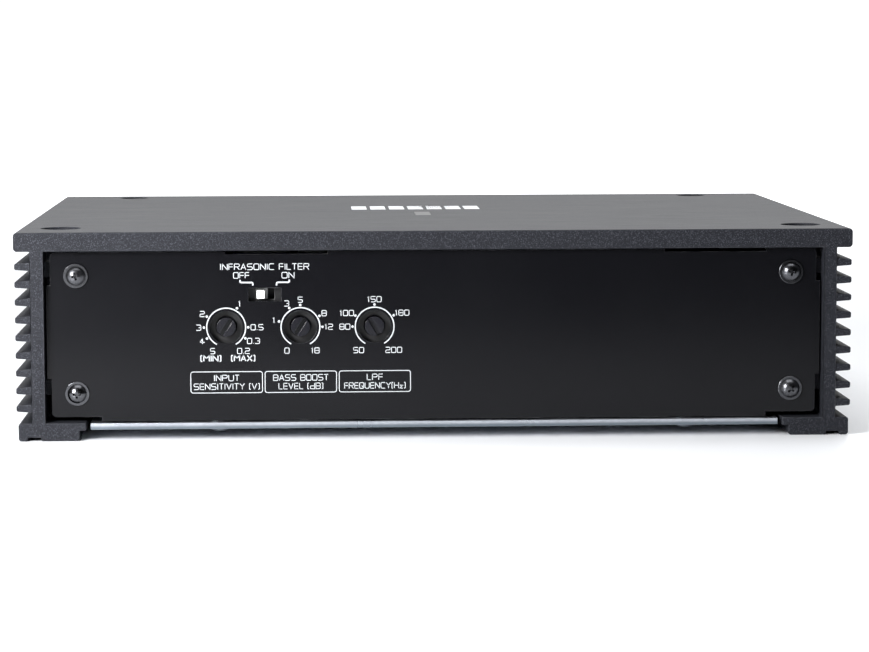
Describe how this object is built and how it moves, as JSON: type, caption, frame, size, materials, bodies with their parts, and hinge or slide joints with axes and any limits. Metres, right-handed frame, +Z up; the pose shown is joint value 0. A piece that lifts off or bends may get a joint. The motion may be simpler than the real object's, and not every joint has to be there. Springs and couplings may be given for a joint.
{
  "type": "car amplifier",
  "caption": "Compact car audio amplifier in a finned extruded heatsink body with a control panel at one end and screw terminals at the other.",
  "frame": {"origin": "centre of the overall box at the level of the feet", "axes": "+X to the right across the fins, +Y from the control panel to the terminal panel, +Z up from the feet"},
  "size_m": [0.205, 0.16, 0.051],
  "materials": {
    "coat_black": "fine textured black powder coat",
    "panel_black": "satin black",
    "plain_silver": "satin",
    "bright_zinc": "bright zinc plate",
    "dark_screw": "black oxide, glossy",
    "board_green": "solder mask",
    "part_black": "moulded",
    "shaft_black": "moulded",
    "slider_white": "moulded",
    "brass": "plated",
    "copper_wire": "enamelled copper wire",
    "ferrite": "matt ferrite",
    "fuse_green": "translucent moulded",
    "sheet_clear": "film",
    "pipe_clear": "clear moulded",
    "sleeve_blue": "shrink sleeve",
    "film_red": "dipped",
    "pad_grey": "matt"
  },
  "bodies": {
    "casing": {"heatsink": "coat_black", "top_badge": "plain_silver", "badge_inlay": "part_black", "control_panel": "panel_black", "terminal_panel": "panel_black", "panel_washers": "dark_screw", "panel_screws": "dark_screw", "bottom_plate": "bright_zinc", "bottom_screws": "bright_zinc", "insulation_sheet": "sheet_clear", "main_board": "board_green", "board_pillars": "brass", "board_screws": "bright_zinc", "control_board": "board_green", "board_header": "part_black", "gain_pot": "part_black", "bass_pot": "part_black", "filter_pot": "part_black", "switch_body": "part_black", "power_block": "part_black", "power_clamps": "bright_zinc", "power_screws": "bright_zinc", "speaker_block": "part_black", "speaker_clamps": "bright_zinc", "speaker_screws": "bright_zinc", "fuse_holder": "part_black", "jack_housing": "part_black", "jack_shells": "plain_silver", "jack_insulators": "slider_white", "jack_contacts": "brass", "remote_socket": "part_black", "light_pipes": "pipe_clear", "supply_core": "ferrite", "supply_windings": "copper_wire", "output_core": "ferrite", "output_windings": "copper_wire", "input_capacitors": "sleeve_blue", "rail_capacitors": "sleeve_blue", "film_capacitors": "film_red", "relay": "part_black", "driver_chips": "part_black", "power_transistors": "part_black", "transistor_pads": "pad_grey", "clamp_bars": "plain_silver", "clamp_screws": "bright_zinc"},
    "gain_shaft": {"gain_shaft": "shaft_black"},
    "bass_shaft": {"bass_shaft": "shaft_black"},
    "filter_shaft": {"filter_shaft": "shaft_black"},
    "switch_slider": {"switch_slider": "slider_white"},
    "left_fuse": {"left_fuse_body": "fuse_green", "left_fuse_blades": "bright_zinc"},
    "right_fuse": {"right_fuse_body": "fuse_green", "right_fuse_blades": "bright_zinc"}
  },
  "joints": [
    {"name": "gain_turn", "type": "hinge", "parent": "casing", "child": "gain_shaft", "pos_m": [-0.0512, -0.0732, 0.0274], "axis": [0, 1, 0], "range_deg": [0, 300]},
    {"name": "bass_turn", "type": "hinge", "parent": "casing", "child": "bass_shaft", "pos_m": [-0.03305, -0.0732, 0.0274], "axis": [0, 1, 0], "range_deg": [0, 300]},
    {"name": "filter_turn", "type": "hinge", "parent": "casing", "child": "filter_shaft", "pos_m": [-0.0149, -0.0732, 0.0274], "axis": [0, 1, 0], "range_deg": [-300, 0]},
    {"name": "switch_slide", "type": "slide", "parent": "casing", "child": "switch_slider", "axis": [1, 0, 0], "range_m": [0, 0.002]},
    {"name": "left_fuse_pull", "type": "slide", "parent": "casing", "child": "left_fuse", "axis": [0, 1, 0], "range_m": [0, 0.018]},
    {"name": "right_fuse_pull", "type": "slide", "parent": "casing", "child": "right_fuse", "axis": [0, 1, 0], "range_m": [0, 0.018]}
  ]
}
